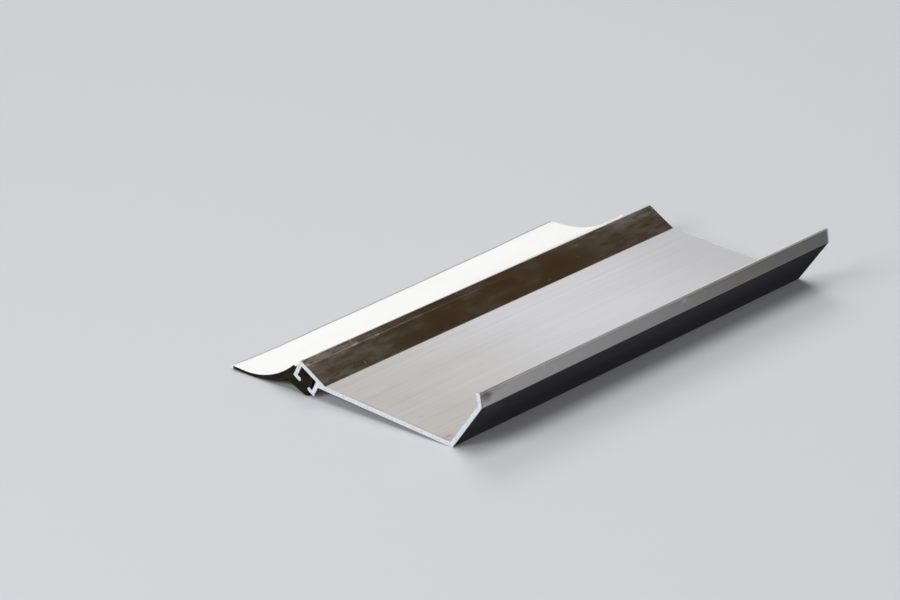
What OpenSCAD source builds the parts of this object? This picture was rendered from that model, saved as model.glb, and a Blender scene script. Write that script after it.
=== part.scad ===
// Wall connection profile: a length of extruded aluminium flashing with a keyed-in sealing lip.
// It lies as stored, on its front corner, the seal's bead and the seal's lip.
// Millimetres. +Z is up, the length runs along Y, the wall flange is on the +X side, and the
// origin is under the middle of the whole part.

/* [Extrusion] */
// Length of the aluminium extrusion
profile_len = 250; // [80:1:3000]
// Wall thickness of the extrusion
wall = 2.2; // [1.6:0.1:3]
// Width of the plate, from the front corner to the foot of the hood
plate_w = 81.2; // [50:0.1:150]

/* [Wall flange] */
// Height of the flange, from the front corner to its bend
flange_h = 31.2; // [15:0.1:80]
// Angle from the plate to the flange
flange_angle = 55.8; // [45:0.1:85]
// Height of the sealant lip above the bend
lip_h = 7.3; // [4:0.1:15]
// Angle from the plate to the sealant lip
lip_angle = 99.8; // [90:0.1:110]

/* [Hood and seal channel] */
// Angle from the plate up to the hood
hood_angle = 26.5; // [20:0.5:35]
// Width of the hood between its foot and the channel's inner wall
hood_land = 3.3; // [2.6:0.1:12]
// Outer width of the seal channel
channel_w = 15; // [13:0.1:22]
// Outer depth of the seal channel, hood and hooks included
channel_d = 10.2; // [9:0.1:16]
// Thickness of the hooks that hold the seal
hook_t = 2; // [1.2:0.1:3]
// How far each hook reaches over the mouth of the channel
hook_reach = 2.7; // [1.5:0.1:3]

/* [Seal] */
// Length of the seal, which starts flush with the near end
seal_len = 232.5; // [60:0.5:3000]
// Clearance between the seal and the channel
seal_clear = 0.2; // [0.1:0.05:0.4]
// Gap between the seal's head and the channel's inner wall
head_side_gap = 1.4; // [0.3:0.1:2]
// Gap between the seal's head and the hood
head_top_gap = 0.8; // [0.3:0.1:2]
// Radius of the bead that backs the inner hook
bead_r = 1.8; // [1.4:0.1:2.6]
// Width of the seal's root beside the channel
root_w = 1.8; // [1.2:0.1:4]
// Drop from the hood's ridge to the top of the seal's root
root_drop = 5.2; // [3.5:0.1:8]
// Depth of the seal's root below the hooks
root_depth = 5.4; // [4.5:0.1:7]

/* [Seal lip] */
// Reach of the lip on the floor, from the channel's outer corner to its free edge
lip_reach = 43.2; // [40:0.1:70]
// Thickness of the lip at its free edge
lip_t = 1.4; // [1:0.1:2]
// Radius of the lip's upper face
lip_upper_r = 54; // [45:1:60]
// Radius of the lip's underside
lip_under_r = 72; // [60:1:90]

/* [Edges] */
// Radius of the front corner, outside
front_r = 1; // [0.4:0.1:1.8]
// Radius of the fillet between plate and flange
front_fillet_r = 1; // [0.4:0.1:4]
// Radius of the flange's bend, outside
bend_r = 0.8; // [0.3:0.1:2]
// Radius of the fillet inside the flange's bend
bend_fillet_r = 1.5; // [0.4:0.1:4]
// Radius of the sealant lip's top edges
lip_edge_r = 0.6; // [0.2:0.1:0.65]
// Radius of the fillet at the foot of the hood
foot_fillet_r = 1.5; // [0.5:0.5:10]
// Radius of the fillet under the plate, beside the channel
under_fillet_r = 1; // [0.4:0.1:2]
// Radius of the hood's ridge
ridge_r = 1.1; // [0.4:0.1:1.8]
// Radius of the channel's lower corners
hook_corner_r = 0.6; // [0.2:0.1:1]
// Radius of the fillets inside the channel
cavity_r = 0.4; // [0.2:0.1:0.6]
// Radius of the seal head's corner on the entry side
head_entry_r = 2.4; // [1:0.1:2.6]
// Radius of the seal's other corners
seal_edge_r = 0.6; // [0.3:0.1:0.8]

/* [Hidden] */
$fn = 96;
// Overrun of every corner piece and cut past the edge that it fills or cuts
overrun = 0.5;
// Angle at which a small round meets the faces beside it, as a share of the angle that it turns through
round_ease_share = 0.06;
// Angle at which the lip's long curves meet its flat part
lip_ease = 1.5;
// How far the flat beside the bead runs into it, as a share of the bead's radius
bead_bite_share = 0.02;
// How far the arch's cut runs on past the root, as a share of the flat's length
arch_overrun_share = 0.2;

function dir(a) = [cos(a), sin(a)];
function turn(p, a) = [p.x * cos(a) - p.y * sin(a), p.x * sin(a) + p.y * cos(a)];
// Centre of a round of radius r in the corner v, whose two faces leave it at a1 and a2
function round_centre(v, a1, a2, r) =
    v + r * cos(round_ease_share * (180 - a2 + a1)) / sin((a2 - a1) / 2) * dir((a1 + a2) / 2);

// Plate frame: the origin is the sharp front corner, and the plate's underside lies on y = 0
hood_w = hood_land + channel_w;
hood_foot = [-plate_w, wall];
hood_ridge = hood_foot + hood_w * dir(180 - hood_angle);
bend = flange_h * dir(flange_angle);
lip_top = bend + lip_h * dir(lip_angle);
front_inner = [-wall * tan(flange_angle / 2), wall];
bend_inner = bend + wall / cos((lip_angle - flange_angle) / 2) * dir((flange_angle + lip_angle) / 2 + 90);
lip_top_inner = lip_top + wall * dir(lip_angle + 90);

// Hood frame: the origin is the ridge, x runs down the hood and y points out of it
function from_hood(p) = hood_ridge + turn(p, -hood_angle);
function hood_y_at(x, plate_y) = (plate_y - hood_ridge.y + x * sin(hood_angle)) / cos(hood_angle);
inner_wall_x = channel_w - wall;
inner_wall_mid = channel_w - wall / 2;
plate_end = from_hood([inner_wall_mid, hood_y_at(inner_wall_mid, 0)]);
plate_end_upper = from_hood([inner_wall_mid, -wall / 2]);
under_corner = from_hood([channel_w, hood_y_at(channel_w, 0)]);
hook_top = hook_t - channel_d;
mouth = [wall + hook_reach, inner_wall_x - hook_reach];
band_top = -channel_d - seal_clear;
root_x = -seal_clear - root_w;

// Floor frame: the part is tipped until the front corner and the bead both touch the floor
front_centre = round_centre([0, 0], flange_angle, 180, front_r);
bead_offset = from_hood([mouth[1], band_top - bead_r]) - front_centre;
rest_tilt = asin((bead_r - front_r) / norm(bead_offset)) + atan2(-bead_offset.y, -bead_offset.x);
function to_floor(p) = turn(p, -rest_tilt) + [0, front_r - turn(front_centre, -rest_tilt).y];

function seal_point(x, y) = to_floor(from_hood([x, y]));

// Seal outline in the floor frame: the long curves rise from the floor to the root
bead_centre = seal_point(mouth[1], band_top - bead_r);
root_top = seal_point(root_x, -root_drop);
root_low = seal_point(root_x, -channel_d - root_depth);
upper_level = lip_t + lip_upper_r * cos(lip_ease);
under_level = lip_under_r * cos(lip_ease);
upper_centre = [root_top.x - sqrt(lip_upper_r ^ 2 - (upper_level - root_top.y) ^ 2), upper_level];
under_centre = [root_low.x - sqrt(lip_under_r ^ 2 - (under_level - root_low.y) ^ 2), under_level];
lip_edge_x = seal_point(0, -channel_d).x - lip_reach;
bend_centre = to_floor(round_centre(bend, lip_angle, flange_angle + 180, bend_r));
middle_x = (lip_edge_x + bend_centre.x + bend_r) / 2;

// Corner piece between two faces that leave v at a1 and a2: added it fillets, taken off it rounds
module corner_piece(v, a1, a2, r) {
    reach = r / tan((a2 - a1) / 2);
    centre = round_centre(v, a1, a2, r);
    difference() {
        polygon([v + reach * dir(a1), centre, v + reach * dir(a2), v - overrun * dir((a1 + a2) / 2)]);
        translate(centre) circle(r);
    }
}

module in_plate_frame() {
    translate(to_floor([0, 0])) rotate(-rest_tilt) children();
}

module in_hood_frame() {
    in_plate_frame() translate(hood_ridge) rotate(-hood_angle) children();
}

// Runs a section from the near end along Y
module run_length(len) {
    translate([-middle_x, len - profile_len / 2, 0]) rotate([90, 0, 0]) linear_extrude(len) children();
}

// Plate, flange and sealant lip, with their rounded edges and fillets
module flashing_section() {
    difference() {
        union() {
            polygon([
                [0, 0], bend, lip_top, lip_top_inner, bend_inner,
                front_inner, hood_foot, plate_end_upper, plate_end
            ]);
            corner_piece(front_inner, flange_angle, 180, front_fillet_r);
            corner_piece(bend_inner, lip_angle, flange_angle + 180, bend_fillet_r);
        }
        corner_piece([0, 0], flange_angle, 180, front_r);
        corner_piece(bend, lip_angle, flange_angle + 180, bend_r);
        corner_piece(lip_top, lip_angle + 90, lip_angle + 180, lip_edge_r);
        corner_piece(lip_top_inner, lip_angle - 180, lip_angle - 90, lip_edge_r);
    }
}

// One hook with a round tip, from the corner of the channel inwards
module hook_section() {
    translate([0, -channel_d]) square([wall + hook_reach - hook_t / 2, hook_t]);
    translate([wall + hook_reach - hook_t / 2, hook_t / 2 - channel_d]) circle(hook_t / 2);
    corner_piece([wall, hook_top], 0, 90, cavity_r);
}

// Half of the channel: a wall with its hook, and the fillet under the hood
module channel_half() {
    difference() {
        union() {
            translate([0, -channel_d]) square([wall, channel_d]);
            hook_section();
            corner_piece([wall, -wall], -90, 0, cavity_r);
        }
        corner_piece([0, -channel_d], 0, 90, hook_corner_r);
    }
}

// Hood with the C-shaped seal channel under it
module channel_section() {
    difference() {
        union() {
            translate([0, -wall]) square([hood_w, wall]);
            channel_half();
            translate([channel_w, 0]) mirror([1, 0]) channel_half();
        }
        corner_piece([0, 0], -90, 0, ridge_r);
    }
}

module aluminium_profile() {
    color("silver") run_length(profile_len) {
        in_plate_frame() {
            flashing_section();
            corner_piece(hood_foot, 0, 180 - hood_angle, foot_fillet_r);
            corner_piece(under_corner, -90 - hood_angle, 0, under_fillet_r);
        }
        in_hood_frame() channel_section();
    }
}

// Head and neck of the seal, inside the channel and through its mouth
module foot_section() {
    low = hook_top + seal_clear;
    high = -wall - head_top_gap;
    left = wall + seal_clear;
    right = inner_wall_x - head_side_gap;
    difference() {
        translate([left, low]) square([right - left, high - low]);
        corner_piece([right, high], 180, 270, head_entry_r);
        corner_piece([left, high], -90, 0, seal_edge_r);
        corner_piece([left, low], 0, 90, seal_edge_r);
    }
    translate([mouth[0] + seal_clear, band_top - bead_r])
        square([mouth[1] - mouth[0] - 2 * seal_clear, low + bead_r - band_top + seal_edge_r]);
}

// Arch under the seal, between the lip's long underside and the flat that runs to the bead
module arch_section() {
    slope = root_low - bead_centre;
    flat_start = bead_centre + bead_r * (1 - bead_bite_share) * dir(atan2(slope.y, slope.x) + 90);
    arch_top = root_low + (root_low - flat_start) * arch_overrun_share;
    difference() {
        polygon([
            [under_centre.x, -overrun], [bead_centre.x, -overrun], bead_centre, flat_start,
            arch_top, [under_centre.x, arch_top.y]
        ]);
        translate(under_centre) circle(lip_under_r);
    }
}

// Root around the outer hook, with the wide lip that runs out to its rounded free edge on the floor
module lip_section() {
    edge_centre = [lip_edge_x + lip_t / 2, lip_t / 2];
    difference() {
        polygon([
            [edge_centre.x, 0], [bead_centre.x, 0], bead_centre, seal_point((mouth[0] + mouth[1]) / 2, band_top),
            seal_point(-seal_clear, band_top), seal_point(-seal_clear, -root_drop),
            seal_point(root_x - root_w, -root_drop), [upper_centre.x, lip_t], [edge_centre.x, lip_t]
        ]);
        arch_section();
        translate(upper_centre) circle(lip_upper_r);
        in_hood_frame() corner_piece([-seal_clear, -root_drop], 180, 270, seal_edge_r);
    }
    translate(edge_centre) circle(lip_t / 2);
    translate(bead_centre) circle(bead_r);
}

module sealing_lip() {
    color("ivory") run_length(seal_len) {
        in_hood_frame() foot_section();
        lip_section();
    }
}

aluminium_profile();
sealing_lip();
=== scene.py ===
"""Wall connection profile.

An extruded aluminium flashing with a wide plate, a wall flange and a hooded channel, and the rubber sealing
strip that is keyed into that channel.
"""

import logging
import math
from dataclasses import dataclass
from enum import Enum

import bpy
from mathutils import Matrix, Vector


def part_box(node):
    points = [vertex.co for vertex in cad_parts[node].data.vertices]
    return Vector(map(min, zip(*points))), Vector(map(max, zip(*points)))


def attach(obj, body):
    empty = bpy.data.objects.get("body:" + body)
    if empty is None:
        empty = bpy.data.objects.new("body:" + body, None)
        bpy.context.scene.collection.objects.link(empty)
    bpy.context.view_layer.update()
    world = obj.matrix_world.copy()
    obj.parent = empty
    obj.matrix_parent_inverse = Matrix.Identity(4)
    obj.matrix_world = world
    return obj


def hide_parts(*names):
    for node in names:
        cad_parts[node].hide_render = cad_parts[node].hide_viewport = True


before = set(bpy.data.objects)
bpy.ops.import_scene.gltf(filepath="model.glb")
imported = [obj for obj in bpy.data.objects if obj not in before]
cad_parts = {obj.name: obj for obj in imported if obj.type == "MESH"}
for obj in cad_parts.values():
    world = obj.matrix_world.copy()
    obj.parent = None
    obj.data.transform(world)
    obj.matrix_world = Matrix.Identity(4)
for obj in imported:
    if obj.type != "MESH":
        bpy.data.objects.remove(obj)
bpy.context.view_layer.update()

log = logging.getLogger("wall_connection_profile")

MM = 0.001
HALF_LENGTH = 125.0 * MM
NOISE_MIDDLE = 0.5

Colour = tuple[float, float, float]
Point = tuple[float, float, float]
# The two ends of a soft step, or the middle of a band and half of its width.
Ends = tuple[float, float]


class Tone(Enum):
    """The rubbers that show on the strip, and the painted highlight on the core's cut edges, as the value
    that a face carries.
    """

    CORE = 0.0
    # Painted highlight along the core's cut edges.
    CUT_EDGE_HIGHLIGHT = 0.1
    RIM = 0.5
    SKIN = 1.0


class Cut(Enum):
    """The two ways in which the strip is cut, as the cutting plane's normal."""

    RING = (0.0, 1.0, 0.0)
    COLUMN = (1.0, 0.0, 0.0)


def share(value: float, start: float, stop: float) -> float:
    """Give how far a value has come from start to stop.

    Args:
        value: The value.
        start: The value that gives 0.
        stop: The value that gives 1.

    Returns:
        A number from 0 to 1.
    """
    return min(max((value - start) / (stop - start), 0.0), 1.0)


class Wire:
    """A shader socket that takes part in Python arithmetic."""

    def __init__(self, sheet: "NodeSheet", socket: bpy.types.NodeSocket) -> None:
        """Keep the sheet that adds nodes and the socket that gives the value.

        Args:
            sheet: The sheet.
            socket: The output.
        """
        self.sheet = sheet
        self.socket = socket

    def other(self, name: str) -> "Wire":
        """Give another output of the same node, by its name."""
        return Wire(self.sheet, self.socket.node.outputs[name])

    def _math(self, operation: str, first: "Wire | float", second: "Wire | float" = 0.0) -> "Wire":
        """Add one Math node.

        Args:
            operation: The Math node's operation.
            first: The value or link of its first socket.
            second: The value or link of its second socket.

        Returns:
            The node's result.
        """
        return self.sheet.node("ShaderNodeMath", {"operation": operation}, {0: first, 1: second})

    def __add__(self, other: "Wire | float") -> "Wire":
        """Add."""
        return self._math("ADD", self, other)

    def __radd__(self, other: float) -> "Wire":
        """Add, with the number on the left."""
        return self._math("ADD", other, self)

    def __sub__(self, other: "Wire | float") -> "Wire":
        """Subtract."""
        return self._math("SUBTRACT", self, other)

    def __rsub__(self, other: float) -> "Wire":
        """Subtract from a number."""
        return self._math("SUBTRACT", other, self)

    def __mul__(self, other: "Wire | float") -> "Wire":
        """Multiply."""
        return self._math("MULTIPLY", self, other)

    def __rmul__(self, other: float) -> "Wire":
        """Multiply, with the number on the left."""
        return self._math("MULTIPLY", other, self)

    def __abs__(self) -> "Wire":
        """Drop the sign."""
        return self._math("ABSOLUTE", self)

    def ramp(self, low: float, high: float) -> "Wire":
        """Rise softly from 0 at low to 1 at high, or fall where high is the lower number.

        Args:
            low: The value that gives 0.
            high: The value that gives 1.

        Returns:
            A mask from 0 to 1.
        """
        rising = high > low
        sockets = {"Value": self, "From Min": min(low, high), "From Max": max(low, high),
                   "To Min": 0.0 if rising else 1.0, "To Max": 1.0 if rising else 0.0}
        return self.sheet.node("ShaderNodeMapRange", {"interpolation_type": "SMOOTHSTEP"}, sockets)

    def band(self, middle: float, half: float) -> "Wire":
        """Give 1 on a line of this value, fading to 0 at half a band's width.

        Args:
            middle: The value at the middle of the band.
            half: Half of the band's width.

        Returns:
            A mask from 0 to 1.
        """
        return abs(self - middle).ramp(half, 0.0)


@dataclass(frozen=True)
class Grain:
    """A noise pattern: cells per metre along x, y and z, octaves, and the weight of the finer ones."""

    stretch: Point
    detail: float = 2.0
    roughness: float = 0.5


class NodeSheet:
    """A node tree, with the few helpers that its expressions need."""

    spot_core: float = 0.2

    def __init__(self, tree: bpy.types.NodeTree, place: str) -> None:
        """Keep the tree and read the place that its patterns follow.

        Args:
            tree: The node tree.
            place: The Texture Coordinate output to read.
        """
        self.tree = tree
        self.place = self.node("ShaderNodeTexCoord", {}, {}, place)
        self.x = self.node("ShaderNodeSeparateXYZ", {}, {"Vector": self.place}, "X")
        self.y = self.x.other("Y")
        self.z = self.x.other("Z")

    def node(self, kind: str, settings: dict, sockets: dict, output: "int | str" = 0) -> Wire:
        """Add one node.

        Args:
            kind: The node's type.
            settings: The node's own settings, which are set first. A ramp's stops are (place, colour) pairs.
            sockets: Values or links, by socket name or number.
            output: The output to hand back, by name or number.

        Returns:
            The chosen output.
        """
        made = self.tree.nodes.new(kind)
        for key, value in settings.items():
            if key == "stops":
                self.set_stops(made.color_ramp, value)
            else:
                setattr(made, key, value)
        for key, value in sockets.items():
            self.set_socket(made.inputs[key], value)
        return Wire(self, made.outputs[output])

    @staticmethod
    def set_stops(ramp: bpy.types.ColorRamp, stops: "tuple[tuple[float, Colour], ...]") -> None:
        """Give a colour ramp its stops.

        Args:
            ramp: The ramp.
            stops: Places from 0 to 1 with their colours.
        """
        while len(ramp.elements) < len(stops):
            ramp.elements.new(0.5)
        for element, (place, colour) in zip(ramp.elements, stops):
            element.position = place
            element.color = (*colour, 1.0)

    def set_socket(self, socket: bpy.types.NodeSocket, value: "Wire | Colour | float") -> None:
        """Link a socket, or set its value.

        Args:
            socket: The input.
            value: A link, a colour, a vector or a number.
        """
        if isinstance(value, Wire):
            self.tree.links.new(value.socket, socket)
        elif isinstance(value, tuple) and socket.type == "RGBA":
            socket.default_value = (*value, 1.0)
        else:
            socket.default_value = value

    def grain(self, pattern: Grain) -> Wire:
        """Give noise whose cells are stretched along the axes.

        Args:
            pattern: The pattern.

        Returns:
            The noise, which varies about its middle.
        """
        placed = self.node("ShaderNodeMapping", {}, {"Vector": self.place, "Scale": pattern.stretch})
        sockets = {"Vector": placed, "Scale": 1.0, "Detail": pattern.detail, "Roughness": pattern.roughness}
        return self.node("ShaderNodeTexNoise", {"noise_dimensions": "3D"}, sockets)

    def along(self, way: Point) -> Wire:
        """Give how far the place lies along a direction of unit length."""
        sockets = {0: self.place, 1: way}
        return self.node("ShaderNodeVectorMath", {"operation": "DOT_PRODUCT"}, sockets, "Value")

    def spot(self, centre: Point, sizes: Point) -> Wire:
        """Give a soft oval mask about a point.

        Args:
            centre: The point, in metres.
            sizes: How far the mask reaches along x, y and z.

        Returns:
            A mask that is 1 at the point.
        """
        away = self.node("ShaderNodeVectorMath", {"operation": "SUBTRACT"}, {0: self.place, 1: centre})
        away = self.node("ShaderNodeVectorMath", {"operation": "DIVIDE"}, {0: away, 1: sizes})
        length = self.node("ShaderNodeVectorMath", {"operation": "LENGTH"}, {0: away}, "Value")
        return length.ramp(1.0, self.spot_core)

    def blend(self, factor: "Wire | float", first: "Wire | Colour", second: "Wire | Colour") -> Wire:
        """Mix two colours.

        Args:
            factor: 0 for the first colour, 1 for the second.
            first: A colour or a link.
            second: A colour or a link.

        Returns:
            The mixed colour.
        """
        return self.node("ShaderNodeMix", {"data_type": "RGBA"}, {0: factor, 6: first, 7: second}, 2)

    def bump(self, height: Wire, depth: float, strength: float) -> Wire:
        """Turn a height into a bumped normal.

        Args:
            height: The height.
            depth: What a height of 1 stands for, in metres.
            strength: How much of the bump shows.

        Returns:
            The normal.
        """
        return self.node("ShaderNodeBump", {}, {"Strength": strength, "Distance": depth, "Height": height})


class MaterialSheet(NodeSheet):
    """The node tree of a new material, in the object's own coordinates."""

    def __init__(self, name: str) -> None:
        """Start a material.

        Args:
            name: The material's name.
        """
        self.material = bpy.data.materials.new(name)
        self.material.use_nodes = True
        super().__init__(self.material.node_tree, "Object")
        self.shader = self.tree.nodes["Principled BSDF"]

    def feed(self, **sockets: "Wire | Colour | float") -> None:
        """Set or link the Principled shader's sockets, named with _ for a space."""
        for key, value in sockets.items():
            self.set_socket(self.shader.inputs[key.replace("_", " ")], value)


@dataclass(frozen=True)
class FlatFace:
    """A flat face of the extrusion: its outward normal and its distance from the origin along that."""

    normal: Point
    level: float
    fade: Ends = (0.35 * MM, 0.15 * MM)

    def mask(self, sheet: NodeSheet) -> Wire:
        """Give a mask that is 1 on the face."""
        return abs(sheet.along(self.normal) - self.level).ramp(*self.fade)


@dataclass(frozen=True)
class Mark:
    """A small mark in the metal: its place and reach, in millimetres, and how strong it is."""

    place: Point
    reach: Point
    weight: float

    def mask(self, sheet: NodeSheet) -> Wire:
        """Give the mark's mask, from 0 to its weight."""
        centre = tuple(value * MM for value in self.place)
        return self.weight * sheet.spot(centre, tuple(value * MM for value in self.reach))


def add_marks(sheet: NodeSheet, marks: tuple[Mark, ...]) -> Wire:
    """Give the masks of several marks in one."""
    first, *rest = (mark.mask(sheet) for mark in marks)
    return sum(rest, first)


@dataclass(frozen=True)
class TarnishAndNearReflection:
    """Warm tarnish in die lines and faint clouds, and a painted reflection that darkens and warms the metal
    towards the near end.
    """

    near_run: Ends = (10.0 * MM, -HALF_LENGTH)
    near_share: float = 0.75
    line_share: float = 0.35
    cloud_steps: Ends = (0.45, 0.75)
    cloud_share: float = 0.20

    def mask(self, sheet: NodeSheet, lines: Wire, cloud: Wire) -> Wire:
        """Give the tarnish's mask.

        Args:
            sheet: The material's nodes.
            lines: The die lines.
            cloud: The soft clouds.

        Returns:
            A mask from 0 to 1.
        """
        # Painted reflection: the metal darkens and warms towards the near end.
        near = self.near_share * sheet.y.ramp(*self.near_run)
        clouds = self.cloud_share * cloud.ramp(*self.cloud_steps)
        return self.line_share * (lines - NOISE_MIDDLE) + near + clouds


@dataclass(frozen=True)
class DirtAndCutShadow:
    """Brown dirt: a stain in the front corner and scuffs on the plate, with a painted shadow line along the
    near cut.
    """

    stain: Mark = Mark((58.0, -122.0, 2.5), (6.0, 6.0, 6.0), 0.35)
    stain_steps: Ends = (0.30, 0.62)
    line_band: Ends = (0.9 * MM - HALF_LENGTH, 0.6 * MM)
    line_steps: Ends = (0.34, 0.58)
    line_share: float = 0.45
    scuffs: tuple[Mark, ...] = (
        Mark((56.9, -121.1, 2.6), (1.2, 2.6, 1.0), 0.26),
        Mark((34.9, -115.7, 4.2), (0.9, 2.2, 0.9), 0.16),
        Mark((49.8, -101.3, 3.1), (0.6, 1.2, 0.6), 0.16),
        Mark((-8.8, -63.0, 7.4), (1.6, 5.5, 1.0), 0.08),
        Mark((17.5, -7.7, 5.5), (0.8, 3.0, 0.8), 0.10),
    )

    def mask(self, sheet: NodeSheet, cloud: Wire) -> Wire:
        """Give the mask of the dirt and of the painted shadow line.

        Args:
            sheet: The material's nodes.
            cloud: The soft clouds, which break the stain and the line up.

        Returns:
            A mask from 0 to 1.
        """
        stain = self.stain.mask(sheet) * cloud.ramp(*self.stain_steps)
        # Painted shadow: a thin brown line just inside the near cut.
        line = self.line_share * sheet.y.band(*self.line_band) * cloud.ramp(*self.line_steps)
        return stain + line + add_marks(sheet, self.scuffs)


@dataclass(frozen=True)
class Smudge:
    """A dark smudge at the lip's near end, with a tail along the lip's top edge."""

    marks: tuple[Mark, ...] = (
        Mark((81.9, -121.0, 28.8), (2.0, 6.0, 3.6), 0.60),
        Mark((81.6, -119.0, 31.2), (2.5, 14.0, 4.0), 0.45),
    )
    least: float = 0.5
    mottle_steps: Ends = (0.36, 0.56)

    def mask(self, sheet: NodeSheet, mottle: Wire) -> Wire:
        """Give the smudge's mask, broken up by the small blotches."""
        broken = self.least + (1.0 - self.least) * mottle.ramp(*self.mottle_steps)
        return add_marks(sheet, self.marks) * broken


@dataclass(frozen=True)
class ScratchesAndEdgeHighlight:
    """Light scratches and nicks on the hood, on the lip's top edge and along the cuts, and a painted
    highlight along the lip's top edge.
    """

    breaks: Grain = Grain((20.0, 70.0, 20.0), 4.0, 0.6)
    break_steps: Ends = (0.40, 0.62)
    line_band: Ends = (-30.0 * MM, 0.34 * MM)
    line_run: Ends = (40.0 * MM, -80.0 * MM)
    line_least: float = 0.35
    line_share: float = 0.30
    flecks: Grain = Grain((520.0, 130.0, 520.0))
    fleck_steps: Ends = (0.69, 0.79)
    fleck_share: float = 0.16
    edge_rise: Ends = (30.9 * MM, 31.4 * MM)
    edge_run: Ends = (65.0 * MM, 95.0 * MM)
    edge_near: float = 0.05
    edge_far: float = 0.40
    burr_run: Ends = (HALF_LENGTH - 0.55 * MM, HALF_LENGTH - 0.25 * MM)
    burr_share: float = 0.5
    nicks: tuple[Mark, ...] = (
        Mark((-30.1, -92.5, 15.3), (0.8, 3.2, 0.8), 0.40),
        Mark((-29.9, -77.6, 15.2), (0.6, 2.0, 0.6), 0.28),
        Mark((-30.4, -123.3, 15.4), (1.3, 2.0, 1.3), 0.30),
        Mark((-32.3, -93.1, 16.6), (1.3, 0.7, 1.3), 0.26),
        Mark((-32.2, -114.8, 16.5), (1.4, 0.8, 1.4), 0.22),
        Mark((-20.6, -95.6, 9.6), (1.8, 0.6, 1.2), 0.22),
        Mark((-31.8, 52.3, 16.3), (1.2, 0.6, 1.2), 0.12),
        Mark((-30.0, 64.3, 15.3), (0.7, 2.5, 0.7), 0.10),
        Mark((-24.5, 59.3, 12.0), (0.8, 1.2, 0.8), 0.10),
        Mark((-30.9, 124.2, 15.7), (0.6, 0.6, 0.6), 0.50),
        Mark((81.6, -82.4, 29.4), (0.6, 0.55, 1.9), 0.30),
        Mark((81.7, 16.3, 29.6), (0.9, 1.8, 1.5), 0.30),
    )

    def mask(self, sheet: NodeSheet, hood: Wire) -> Wire:
        """Give the mask of the scratches and of the painted highlight on the lip's top edge.

        Args:
            sheet: The material's nodes.
            hood: The mask of the hood's outer face.

        Returns:
            A mask from 0 to 1.
        """
        broken = sheet.grain(self.breaks).ramp(*self.break_steps)
        line = sheet.x.band(*self.line_band) * sheet.y.ramp(*self.line_run)
        line = line * (self.line_least + (1.0 - self.line_least) * broken)
        flecks = hood * sheet.grain(self.flecks).ramp(*self.fleck_steps)
        # Painted highlight along the lip's top edge, stronger towards the far end.
        edge = self.edge_near + (self.edge_far - self.edge_near) * sheet.y.ramp(*self.edge_run)
        edge = edge * sheet.z.ramp(*self.edge_rise)
        burr = abs(sheet.y).ramp(*self.burr_run) * broken
        marks = self.line_share * line + self.fleck_share * flecks + edge + self.burr_share * burr
        return marks + add_marks(sheet, self.nicks)


@dataclass(frozen=True)
class Haze:
    """The dull haze of handling: both ends of the hood, blotches between them and the flange's near end."""

    crest_run: Ends = (-27.0 * MM, -32.0 * MM)
    crest_least: float = 0.5
    near_run: Ends = (-45.0 * MM, -HALF_LENGTH)
    near_share: float = 0.24
    far_run: Ends = (35.0 * MM, 120.0 * MM)
    far_share: float = 0.19
    blotches: Grain = Grain((110.0, 42.0, 110.0), 3.0, 0.6)
    blotch_steps: Ends = (0.40, 0.68)
    blotch_run: Ends = (70.0 * MM, 20.0 * MM)
    blotch_share: float = 0.042
    flange_run: Ends = (-85.0 * MM, -HALF_LENGTH)
    flange_share: float = 0.05
    mottle_steps: Ends = (0.36, 0.64)
    mottle_least: float = 0.45
    mottle_share: float = 1.1

    def mask(self, sheet: NodeSheet, hood: Wire, flange: Wire, mottle: Wire) -> Wire:
        """Give the haze's mask.

        Args:
            sheet: The material's nodes.
            hood: The mask of the hood's outer face.
            flange: The mask of the flange's outer face.
            mottle: Small blotches, which break the haze up.

        Returns:
            A mask from 0 to 1.
        """
        crest = self.crest_least + (1.0 - self.crest_least) * sheet.x.ramp(*self.crest_run)
        ends = self.near_share * sheet.y.ramp(*self.near_run) + self.far_share * sheet.y.ramp(*self.far_run)
        blotches = sheet.grain(self.blotches).ramp(*self.blotch_steps) * sheet.y.ramp(*self.blotch_run)
        haze = hood * (ends * crest + self.blotch_share * blotches)
        haze = haze + self.flange_share * flange * sheet.y.ramp(*self.flange_run)
        return haze * (self.mottle_least + self.mottle_share * mottle.ramp(*self.mottle_steps))


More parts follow.
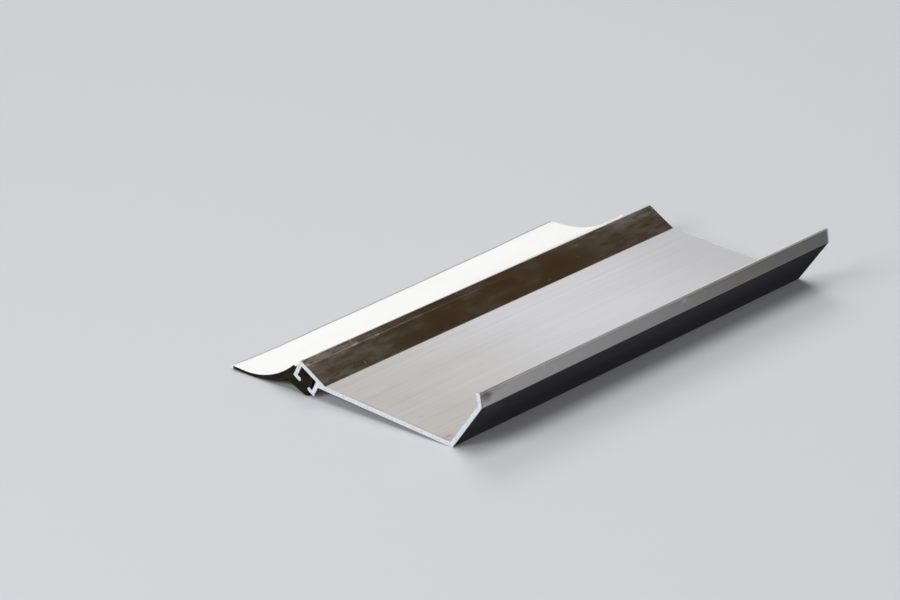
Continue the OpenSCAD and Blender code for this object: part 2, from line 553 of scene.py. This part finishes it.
@dataclass(frozen=True)
class MillAluminium:
    """Bare extruded aluminium with lengthwise die lines, signs of handling and bright saw-cut ends, with
    painted shade, reflections and highlights.

    A run is a stretch along an axis, steps are levels of a noise, and a share is how much of a tone shows.
    The depth of the die lines and the height of the burr count in relief units.
    """

    name: str = "mill_aluminium"
    metal: Colour = (0.730, 0.730, 0.742)
    pale: Colour = (0.766, 0.768, 0.782)
    # The warm tone of the tarnish and of the painted reflection at the near end.
    warm: Colour = (0.560, 0.528, 0.475)
    # The darker grey of the painted reflection towards the far end.
    far_reflection_grey: Colour = (0.570, 0.568, 0.572)
    olive: Colour = (0.600, 0.510, 0.350)
    # The lip's duller tone, for its mottle and for the darker band of painted reflection.
    dull: Colour = (0.470, 0.450, 0.380)
    # The dark of the flange's painted shade, which the lip's smudge also takes.
    shade: Colour = (0.240, 0.235, 0.245)
    cut: Colour = (0.930, 0.955, 1.000)
    speck: Colour = (0.300, 0.300, 0.330)
    stain: Colour = (0.330, 0.270, 0.170)
    film: Colour = (0.740, 0.715, 0.560)
    hood: FlatFace = FlatFace((0.511, 0.0, 0.860), -2.24 * MM)
    lip: FlatFace = FlatFace((0.995, 0.0, 0.098), 84.17 * MM)
    flange: FlatFace = FlatFace((0.784, 0.0, -0.621), 49.27 * MM)
    mottle: Grain = Grain((330.0, 75.0, 330.0), 4.0, 0.65)
    bands: Grain = Grain((170.0, 1.6, 170.0), 3.0)
    lines: Grain = Grain((1300.0, 4.0, 1300.0))
    cloud: Grain = Grain((30.0, 12.0, 30.0), 3.0)
    saw: Grain = Grain((900.0, 1.0, 260.0), 3.0, 0.6)
    specks: Grain = Grain((1500.0, 1.0, 1500.0), 1.0)
    tarnish_and_near_reflection: TarnishAndNearReflection = TarnishAndNearReflection()
    dirt_and_cut_shadow: DirtAndCutShadow = DirtAndCutShadow()
    smudge: Smudge = Smudge()
    scratches_and_edge_highlight: ScratchesAndEdgeHighlight = ScratchesAndEdgeHighlight()
    haze: Haze = Haze()
    band_steps: Ends = (0.35, 0.68)
    far_reflection_run: Ends = (40.0 * MM, HALF_LENGTH)
    far_reflection_share: float = 0.75
    olive_share: float = 0.16
    olive_cloud: float = 0.30
    olive_level: float = 0.40
    dull_mottle: float = 0.15
    painted_reflection_band: Ends = (62.0 * MM, 75.0 * MM)
    painted_reflection_share: float = 0.40
    shade_run: Ends = (24.0 * MM, 6.0 * MM)
    shade_share: float = 0.85
    film_share: float = 1.2
    scratch_and_highlight_share: float = 0.8
    burr_highlight_band: Ends = (HALF_LENGTH - 0.45 * MM, 0.50 * MM)
    burr_share: float = 0.9
    end_run: Ends = (HALF_LENGTH - 0.10 * MM, HALF_LENGTH - 0.02 * MM)
    saw_steps: Ends = (0.35, 0.75)
    speck_steps: Ends = (0.64, 0.72)
    speck_share: float = 0.55
    roughness: float = 0.23
    grain_roughness: float = 0.08
    worn_roughness: float = 0.20
    cut_roughness: float = 0.55
    cut_metallic: float = 0.05
    worn_metallic: float = 0.45
    line_depth: float = 0.0036
    burr_height: float = 0.12
    relief_unit: float = MM
    relief_strength: float = 1.0

    def build(self) -> bpy.types.Material:
        """Make the material.

        Returns:
            The finished material.
        """
        sheet = MaterialSheet(self.name)
        hood, lip, flange = (face.mask(sheet) for face in (self.hood, self.lip, self.flange))
        patterns = (self.mottle, self.bands, self.lines, self.cloud, self.saw)
        mottle, bands, lines, cloud, saw = (sheet.grain(pattern) for pattern in patterns)
        end = abs(sheet.y).ramp(*self.end_run)
        burr = lip * sheet.y.band(*self.burr_highlight_band)
        haze = self.haze.mask(sheet, hood, flange, mottle)
        scratch_and_edge_highlight = self.scratches_and_edge_highlight.mask(sheet, hood)
        tarnish_and_near_reflection = self.tarnish_and_near_reflection.mask(sheet, lines, cloud) * (1.0 - lip)
        olive = hood * (self.olive_share + self.olive_cloud * (cloud - self.olive_level))
        # The lip's own mottle, and a painted reflection that darkens it in a band over its far half.
        dull = lip * (self.dull_mottle * mottle + self.painted_reflection_share * sheet.y.band(*self.painted_reflection_band))
        # Painted shade: the flange's outer face darkens towards its bottom.
        shade = flange * self.shade_share * sheet.z.ramp(*self.shade_run)
        colour = sheet.blend(bands.ramp(*self.band_steps), self.metal, self.pale)
        # Tarnish, and the painted reflection that darkens the near end.
        colour = sheet.blend(tarnish_and_near_reflection, colour, self.warm)
        # Painted reflection: the metal turns darker and greyer towards the far end.
        colour = sheet.blend(self.far_reflection_share * sheet.y.ramp(*self.far_reflection_run), colour, self.far_reflection_grey)
        colour = sheet.blend(olive, colour, self.olive)
        colour = sheet.blend(dull, colour, self.dull)
        colour = sheet.blend(shade, colour, self.shade)
        colour = sheet.blend(haze * self.film_share, colour, self.film)
        # Scratches, and the painted highlight along the lip's top edge.
        colour = sheet.blend(scratch_and_edge_highlight * self.scratch_and_highlight_share, colour, self.cut)
        # Dirt, and the painted shadow line along the near cut.
        colour = sheet.blend(self.dirt_and_cut_shadow.mask(sheet, cloud), colour, self.stain)
        colour = sheet.blend(lip * self.smudge.mask(sheet, mottle), colour, self.shade)
        # The burr at the lip's far end; its bright colour is partly a painted highlight.
        colour = sheet.blend(burr * self.burr_share, colour, self.cut)
        colour = sheet.blend(end, colour, self.sawn(sheet, saw))
        worn = scratch_and_edge_highlight + haze
        uneven = (lines - NOISE_MIDDLE) + (bands - NOISE_MIDDLE)
        rough = self.roughness + self.grain_roughness * uneven + self.worn_roughness * worn
        rough = rough + (end + burr * (1.0 - end)) * (self.cut_roughness - self.roughness)
        dulled = worn * (1.0 - end) * (1.0 - self.worn_metallic)
        metallic = 1.0 - end * (1.0 - self.cut_metallic) - dulled
        relief = self.line_depth * (lines * (1.0 - end) + saw * end) + self.burr_height * burr
        normal = sheet.bump(relief, self.relief_unit, self.relief_strength)
        sheet.feed(Base_Color=colour, Roughness=rough, Metallic=metallic, Normal=normal)
        return sheet.material

    def sawn(self, sheet: NodeSheet, saw: Wire) -> Wire:
        """Give the colour of a saw-cut end.

        Args:
            sheet: The material's nodes.
            saw: The saw's marks.

        Returns:
            The colour.
        """
        specks = sheet.grain(self.specks).ramp(*self.speck_steps)
        colour = sheet.blend(saw.ramp(*self.saw_steps), self.cut, self.pale)
        return sheet.blend(specks * self.speck_share, colour, self.speck)


@dataclass(frozen=True)
class SealRubber:
    """Rubber with a white upper skin and a cream rim on a dark brown core, and a painted highlight along the
    core's cut edges.
    """

    name: str = "seal_rubber"
    tone: str = "rubber_tone"
    skin: Colour = (0.950, 0.948, 0.935)
    skin_shade: Colour = (0.920, 0.915, 0.895)
    rim: Colour = (0.965, 0.945, 0.885)
    core: Colour = (0.006, 0.005, 0.002)
    core_pale: Colour = (0.024, 0.020, 0.008)
    # The lighter core of the painted highlight along the cut edges.
    core_highlight: Colour = (0.050, 0.040, 0.018)
    skin_tones: Ends = (0.70, 0.80)
    rim_tones: Ends = (0.20, 0.30)
    highlight_tones: Ends = (0.03, 0.08)
    mottle: Grain = Grain((240.0, 60.0, 240.0), 4.0, 0.6)
    drawn: Grain = Grain((900.0, 5.0, 900.0))
    cloud: Grain = Grain((30.0, 18.0, 30.0), 3.0)
    core_steps: Ends = (0.35, 0.75)
    highlight_steps: Ends = (0.30, 0.60)
    cloud_steps: Ends = (0.40, 0.70)
    cloud_share: float = 0.6
    drawn_steps: Ends = (0.45, 0.70)
    drawn_share: float = 0.4
    roughness: float = 0.52
    mottle_roughness: float = 0.12
    drawn_roughness: float = 0.10
    specular: float = 0.12
    relief_depth: float = 0.05 * MM
    relief_strength: float = 0.2

    def build(self) -> bpy.types.Material:
        """Make the material.

        Returns:
            The finished material.
        """
        sheet = MaterialSheet(self.name)
        tone = sheet.node("ShaderNodeAttribute", {"attribute_name": self.tone}, {}, "Fac")
        mottle, drawn, cloud = (sheet.grain(pattern) for pattern in (self.mottle, self.drawn, self.cloud))
        # Painted highlight: the core is lighter along its cut edges.
        edge = tone.ramp(*self.highlight_tones) * mottle.ramp(*self.highlight_steps)
        dark = sheet.blend(mottle.ramp(*self.core_steps), self.core, self.core_pale)
        dark = sheet.blend(edge, dark, self.core_highlight)
        shaded = self.cloud_share * cloud.ramp(*self.cloud_steps)
        shaded = shaded + self.drawn_share * drawn.ramp(*self.drawn_steps)
        pale = sheet.blend(shaded, self.skin, self.skin_shade)
        pale = sheet.blend(tone.ramp(*self.skin_tones), self.rim, pale)
        colour = sheet.blend(tone.ramp(*self.rim_tones), dark, pale)
        rough = self.roughness + self.mottle_roughness * (mottle - NOISE_MIDDLE)
        rough = rough + self.drawn_roughness * (drawn - NOISE_MIDDLE)
        normal = sheet.bump(0.5 * (mottle + drawn), self.relief_depth, self.relief_strength)
        sheet.feed(Base_Color=colour, Roughness=rough, Specular_IOR_Level=self.specular, Normal=normal)
        return sheet.material


@dataclass
class AluminiumProfile:
    """The extrusion, which keeps its CAD shape and gets the mill finish."""

    node: str = "aluminium_profile"
    finish: MillAluminium = MillAluminium()

    def dress(self) -> bpy.types.Object:
        """Put the finish on the CAD node.

        Returns:
            The dressed node.
        """
        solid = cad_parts[self.node]
        solid.data.materials.clear()
        solid.data.materials.append(self.finish.build())
        return solid


@dataclass(frozen=True)
class Wave:
    """A shallow wave of the strip's free edge: its size, how far it turns over the length, and its start."""

    size: float
    turn: float
    start: float

    def at(self, along: float) -> float:
        """Give the wave's height at a share of the length."""
        return self.size * math.sin(self.turn * along + self.start)


@dataclass
class SealingLip:
    """The rubber strip: foot in the channel, root against its wall, and the wide lip on the floor."""

    node: str = "sealing_lip"
    name: str = "sealing_strip"
    body: str = "root"
    finish: SealRubber = SealRubber()
    merge_gap: float = 0.002 * MM
    flat_angle: float = math.radians(0.2)
    smooth_angle: float = math.radians(75.0)
    cut_gap: float = 0.001 * MM
    ring_step: float = 5.0 * MM
    column_step: float = 2.5 * MM
    end_facing: float = 0.9
    ring_area: float = 1.0 * MM * MM
    skin_t: float = 0.30 * MM
    skin_slope: float = 0.10
    tip_highlight: float = 1.5 * MM
    tip_edge: float = 1.0 * MM
    tip_slope: float = -0.5
    held_x: float = -36.7 * MM
    rim_x: float = -36.9 * MM
    root_x: float = -38.1 * MM
    arch_x: float = -44.0 * MM
    rim_low: float = 6.0 * MM
    rim_top: float = 13.3 * MM
    rim_rise: float = 2.5 * MM
    rim_lean: float = 0.594
    rise_power: int = 2
    edge_pull: float = 1.18 * MM
    edge_spread: float = 4.66 * MM
    near_flare: float = 1.06 * MM
    near_run: float = 15.0 * MM
    far_flare: float = 1.02 * MM
    far_start: float = 60.0 * MM
    far_stop: float = 88.0 * MM
    curl: float = 1.0 * MM
    curl_run: float = 12.0 * MM
    curl_power: int = 4
    waves: tuple[Wave, ...] = (Wave(0.10 * MM, 14.0, 0.7), Wave(0.05 * MM, 33.0, 2.0))

    def build(self) -> bpy.types.Object:
        """Model the strip on a copy of the CAD solid and dress it.

        Returns:
            The finished piece.
        """
        piece = self.copy_solid()
        self.cut_rings(piece)
        self.paint(piece)
        self.shape(piece)
        self.smooth(piece)
        piece.data.materials.append(self.finish.build())
        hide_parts(self.node)
        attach(piece, self.body)
        return piece

    @staticmethod
    def edit_all(piece: bpy.types.Object) -> None:
        """Make a piece the only selected object and open all of its mesh in edit mode.

        Args:
            piece: The piece.
        """
        bpy.ops.object.select_all(action="DESELECT")
        piece.select_set(True)
        bpy.context.view_layer.objects.active = piece
        bpy.ops.object.mode_set(mode="EDIT")
        bpy.ops.mesh.select_all(action="SELECT")

    def copy_solid(self) -> bpy.types.Object:
        """Copy the CAD node's mesh and merge its loose triangles into whole faces.

        Returns:
            The new object, active and in object mode.
        """
        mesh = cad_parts[self.node].data.copy()
        mesh.materials.clear()
        piece = bpy.data.objects.new(self.name, mesh)
        bpy.context.scene.collection.objects.link(piece)
        self.edit_all(piece)
        bpy.ops.mesh.customdata_custom_splitnormals_clear()
        bpy.ops.mesh.remove_doubles(threshold=self.merge_gap)
        bpy.ops.mesh.dissolve_limited(angle_limit=self.flat_angle)
        bpy.ops.object.mode_set(mode="OBJECT")
        return piece

    def is_end(self, face: bpy.types.MeshPolygon) -> bool:
        """Tell whether a face belongs to one of the cut ends, by its normal."""
        return abs(face.normal.y) > self.end_facing

    def select_ends(self, piece: bpy.types.Object) -> None:
        """Select the two cut ends, from object mode.

        Args:
            piece: The strip.
        """
        for face in piece.data.polygons:
            face.select = self.is_end(face)
        for edge in piece.data.edges:
            edge.select = False
        for vertex in piece.data.vertices:
            vertex.select = False

    def cut_rings(self, piece: bpy.types.Object) -> None:
        """Inset the ends for the painted highlight along their edges, then cut rings along the strip and
        columns across its lip.

        Args:
            piece: The strip.
        """
        low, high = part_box(self.node)
        self.select_ends(piece)
        bpy.ops.object.mode_set(mode="EDIT")
        bpy.ops.mesh.select_mode(type="FACE")
        bpy.ops.mesh.inset(thickness=self.skin_t, use_even_offset=True, use_individual=True)
        rings = int((high.y - low.y) / self.ring_step)
        for ring in range(1, rings):
            self.slice(Cut.RING, low.y + ring * (high.y - low.y) / rings)
        # A column that bounds the painted highlight on the tip's cut end.
        self.slice(Cut.COLUMN, low.x + self.tip_highlight)
        columns = int((self.arch_x - low.x) / self.column_step)
        for column in range(1, columns):
            self.slice(Cut.COLUMN, low.x + column * self.column_step)
        bpy.ops.object.mode_set(mode="OBJECT")

    def slice(self, way: Cut, place: float) -> None:
        """Cut the whole mesh in edit mode by one plane, keeping both sides.

        Args:
            way: The way in which the plane faces.
            place: Where the plane stands along that way.
        """
        point = tuple(place * part for part in way.value)
        bpy.ops.mesh.select_all(action="SELECT")
        bpy.ops.mesh.bisect(plane_co=point, plane_no=way.value, threshold=self.cut_gap)

    def paint(self, piece: bpy.types.Object) -> None:
        """Give each face the rubber or the painted highlight that it shows.

        Args:
            piece: The strip, before it is bent out of the CAD shape.
        """
        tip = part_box(self.node)[0].x
        tones = piece.data.attributes.new(self.finish.tone, "FLOAT", "FACE")
        for face in piece.data.polygons:
            tones.data[face.index].value = self.tone_of(face, tip).value

    def tone_of(self, face: bpy.types.MeshPolygon, tip: float) -> Tone:
        """Choose the rubber or the painted highlight that a face shows.

        Args:
            face: The face.
            tip: Where the lip's free edge lies along x.

        Returns:
            The rubber.
        """
        x, slope = face.center.x, face.normal.z
        if self.is_end(face):
            # Painted highlight: the cut end's faces at the lip's tip take the white skin.
            if x < tip + self.tip_highlight:
                return Tone.SKIN
            # Painted highlight: the small faces round each cut end's edge.
            return Tone.CUT_EDGE_HIGHLIGHT if face.area < self.ring_area else Tone.CORE
        if x < self.root_x and slope > self.skin_slope:
            return Tone.SKIN
        if x < tip + self.tip_edge and slope > self.tip_slope:
            return Tone.SKIN
        if x < self.rim_x and face.center.z > self.rim_top:
            return Tone.RIM
        return Tone.CORE

    def shape(self, piece: bpy.types.Object) -> None:
        """Bend the straight strip into the one that lies there.

        The free edge is drawn in, flares at both ends and spreads towards the far end. The rim climbs the
        channel's wall towards the far end, and the near corner curls up a little. The foot in the channel
        stays as it is.

        Args:
            piece: The strip.
        """
        low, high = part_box(self.node)
        for vertex in piece.data.vertices:
            x, y, z = vertex.co
            if x > self.held_x:
                continue
            along = share(y, low.y, high.y)
            out = share(x, self.root_x, low.x)
            beyond = share(x, self.root_x, self.arch_x)
            height = share(z, self.rim_low, self.rim_top)
            climb = height + (1.0 - height) * beyond
            rise = self.rim_rise * along * (1.0 - out) ** self.rise_power * climb
            reach = self.edge_pull - self.edge_spread * along - self.flare(y, low.y)
            ripple = sum(wave.at(along) for wave in self.waves)
            lift = self.curl * math.exp((low.y - y) / self.curl_run) * out**self.curl_power
            vertex.co.x = x + out * (reach + ripple * out) + self.rim_lean * rise * (1.0 - beyond)
            vertex.co.z = max(z + rise + lift, 0.0)
        piece.data.update()

    def flare(self, y: float, start: float) -> float:
        """Give how far the free edge flares out at its two corners.

        Args:
            y: The place along the strip.
            start: Where the strip's near end is.

        Returns:
            The flare, in metres.
        """
        near = math.exp((start - y) / self.near_run)
        far = share(y, self.far_start, self.far_stop)
        return self.near_flare * near + self.far_flare * far * far * (3.0 - 2.0 * far)

    def smooth(self, piece: bpy.types.Object) -> None:
        """Turn the strip's faces outwards and shade it smooth between its sharp edges.

        Args:
            piece: The strip.
        """
        self.edit_all(piece)
        bpy.ops.mesh.normals_make_consistent(inside=False)
        bpy.ops.object.mode_set(mode="OBJECT")
        bpy.ops.object.shade_smooth_by_angle(angle=self.smooth_angle)


@dataclass(frozen=True)
class SoftBox:
    """One soft studio lamp, aimed at the part. The metal doesn't mirror it."""

    name: str
    place: Point
    size: float
    power: float
    tint: Colour = (1.0, 1.0, 1.0)
    target: Point = (0.0, 0.0, 0.01)

    def build(self) -> bpy.types.Object:
        """Add the lamp.

        Returns:
            The lamp's object.
        """
        aim = (Vector(self.target) - Vector(self.place)).to_track_quat("-Z", "Y").to_euler()
        bpy.ops.object.light_add(type="AREA", location=self.place, rotation=aim)
        lamp = bpy.context.object
        lamp.name = self.name
        lamp.data.shape = "SQUARE"
        lamp.data.size = self.size
        lamp.data.energy = self.power
        lamp.data.color = self.tint
        lamp.visible_glossy = False
        return lamp


@dataclass(frozen=True)
class Panel:
    """A soft panel of the surround: its direction, its inner and outer angle in degrees, and its colour."""

    way: Point
    inner: float
    outer: float
    colour: Colour

    def mask(self, sheet: NodeSheet) -> Wire:
        """Give a mask that is 1 in the middle of the panel."""
        facing = sheet.along(tuple(Vector(self.way).normalized()))
        return facing.ramp(math.cos(math.radians(self.outer)), math.cos(math.radians(self.inner)))


@dataclass
class Studio:
    """Plain pale floor, soft lamps and the surround that the metal mirrors."""

    floor_side: float = 14.0
    floor_colour: Colour = (0.64, 0.65, 0.68)
    floor_roughness: float = 0.85
    floor_specular: float = 0.2
    ambient: float = 0.45
    lamps: tuple[SoftBox, ...] = (
        SoftBox("lamp_back_left", (-1.60, 1.30, 2.10), 1.3, 22.0, (1.0, 0.995, 0.985)),
        SoftBox("lamp_above", (0.40, -0.10, 2.60), 1.4, 28.0),
        SoftBox("lamp_front", (-0.20, -2.30, 1.40), 1.3, 31.0, (0.96, 0.98, 1.0)),
    )
    surround: tuple[tuple[float, Colour], ...] = (
        (0.00, (0.230, 0.230, 0.235)),
        (0.20, (0.300, 0.300, 0.305)),
        (0.35, (0.480, 0.480, 0.480)),
        (0.50, (0.500, 0.500, 0.500)),
        (0.66, (0.600, 0.600, 0.600)),
        (1.00, (0.620, 0.620, 0.620)),
    )
    panels: tuple[Panel, ...] = (
        Panel((-0.57, 0.67, 0.48), 12.0, 34.0, (0.87, 0.87, 0.89)),
        Panel((0.03, 0.70, 0.71), 14.0, 34.0, (0.046, 0.023, 0.0035)),
        Panel((-0.245, 0.691, -0.680), 14.0, 30.0, (0.0215, 0.0212, 0.0262)),
        Panel((0.548, 0.798, -0.250), 8.0, 12.0, (0.03, 0.03, 0.028)),
    )

    def build(self) -> None:
        """Lay the floor, hang the lamps and set the surround."""
        log.info("floor %s", self.lay_floor().name)
        for lamp in self.lamps:
            log.info("lamp %s", lamp.build().name)
        self.set_surround()
        bpy.context.scene.view_settings.view_transform = "Standard"

    def lay_floor(self) -> bpy.types.Object:
        """Add the floor, which lights the part but isn't mirrored in it.

        Returns:
            The floor.
        """
        bpy.ops.object.select_all(action="DESELECT")
        bpy.ops.mesh.primitive_plane_add(size=self.floor_side, location=(0.0, 0.0, 0.0))
        floor = bpy.context.object
        floor.name = "floor"
        sheet = MaterialSheet("pale_floor")
        sheet.feed(Base_Color=self.floor_colour, Roughness=self.floor_roughness,
                   Specular_IOR_Level=self.floor_specular)
        floor.data.materials.append(sheet.material)
        floor.visible_glossy = False
        return floor

    def set_surround(self) -> None:
        """Shade the surround by height, lighter towards the top, and hang the panels in it.

        Mirrors see it at full strength. Elsewhere only its ambient share lights the part.
        """
        world = bpy.data.worlds.new("studio_surround")
        bpy.context.scene.world = world
        world.use_nodes = True
        sheet = NodeSheet(world.node_tree, "Generated")
        # The direction's height goes from -1 to 1, and the ramp from 0 to 1.
        height = 0.5 + 0.5 * sheet.z
        colour = sheet.node("ShaderNodeValToRGB", {"stops": self.surround}, {"Fac": height}, "Color")
        for panel in self.panels:
            colour = sheet.blend(panel.mask(sheet), colour, panel.colour)
        mirrored = sheet.node("ShaderNodeLightPath", {}, {}, "Is Glossy Ray")
        background = sheet.tree.nodes["Background"].inputs
        sheet.set_socket(background["Color"], colour)
        sheet.set_socket(background["Strength"], self.ambient + (1.0 - self.ambient) * mirrored)


@dataclass
class PhotoCamera:
    """The camera at the photograph's angle."""

    place: Point = (1143.023 * MM, -1223.470 * MM, 709.934 * MM)
    azimuth: float = math.radians(44.4359)
    elevation: float = math.radians(22.4944)
    roll: float = math.radians(-2.8441)
    lens: float = 150.3157
    sensor: float = 36.0
    clip_start: float = 0.05

    def build(self) -> bpy.types.Object:
        """Add the camera and make it the scene's own.

        Returns:
            The camera.
        """
        back = Vector((math.sin(self.azimuth) * math.cos(self.elevation),
                       -math.cos(self.azimuth) * math.cos(self.elevation), math.sin(self.elevation)))
        level = Vector((math.cos(self.azimuth), math.sin(self.azimuth), 0.0))
        rise = back.cross(level)
        right = math.cos(self.roll) * level + math.sin(self.roll) * rise
        up = math.cos(self.roll) * rise - math.sin(self.roll) * level
        turn = Matrix((right, up, back)).transposed().to_euler()
        bpy.ops.object.camera_add(location=self.place, rotation=turn)
        camera = bpy.context.object
        camera.name = "photo_camera"
        camera.data.sensor_fit = "HORIZONTAL"
        camera.data.sensor_width = self.sensor
        camera.data.lens = self.lens
        camera.data.clip_start = self.clip_start
        bpy.context.scene.camera = camera
        return camera


def main() -> None:
    """Build the part, the studio and the camera in order."""
    logging.basicConfig(level=logging.INFO, format="%(name)s: %(message)s")
    log.info("piece %s", AluminiumProfile().dress().name)
    log.info("piece %s", SealingLip().build().name)
    Studio().build()
    log.info("camera %s", PhotoCamera().build().name)


if __name__ == "__main__":
    main()
